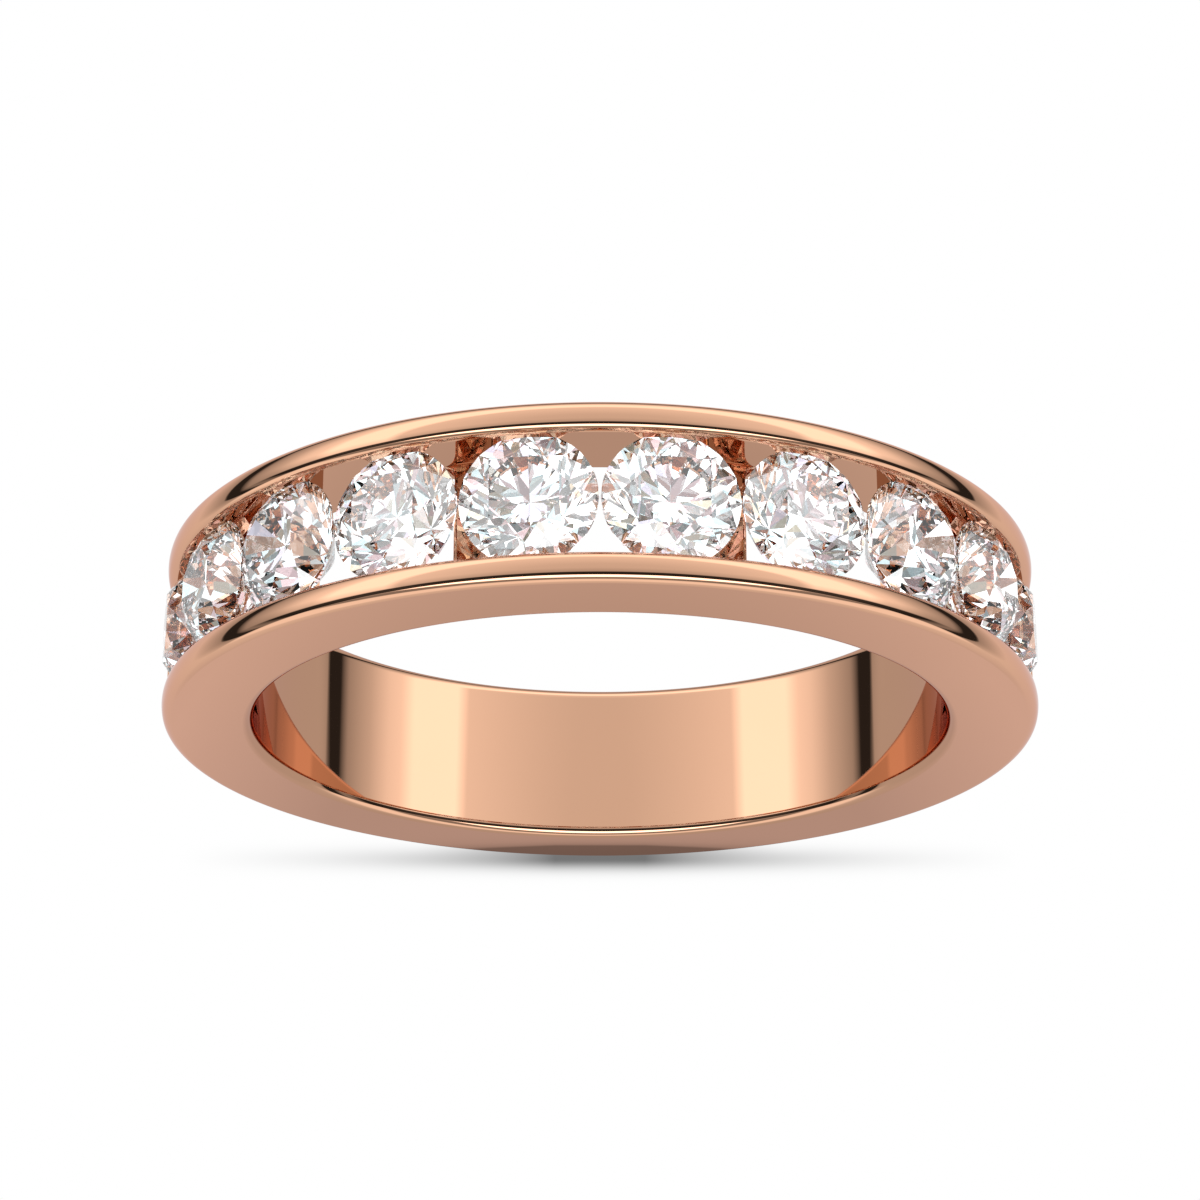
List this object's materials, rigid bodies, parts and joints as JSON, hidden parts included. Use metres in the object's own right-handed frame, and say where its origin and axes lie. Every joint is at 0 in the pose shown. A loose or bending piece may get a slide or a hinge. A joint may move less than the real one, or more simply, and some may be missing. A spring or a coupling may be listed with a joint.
{
  "type": "wedding band",
  "caption": "Polished rose gold wedding band, its upper half channel-set with round brilliant diamonds between two rails, with plain finger bore and lower shank.",
  "frame": {"origin": "centre of the finger bore, half way across the band's width", "axes": "+Y along the bore axis, the finger's direction; +Z from the bore centre to the middle of the row of diamonds; +X along the row of diamonds"},
  "size_m": [0.0208, 0.0042, 0.0208],
  "materials": {
    "rose_gold": "polished",
    "diamond": "polished facets"
  },
  "bodies": {
    "root": {"band": "rose_gold", "diamond_1": "diamond", "diamond_2": "diamond", "diamond_3": "diamond", "diamond_4": "diamond", "diamond_5": "diamond", "diamond_6": "diamond", "diamond_7": "diamond", "diamond_8": "diamond", "diamond_9": "diamond", "diamond_10": "diamond"}
  },
  "joints": []
}
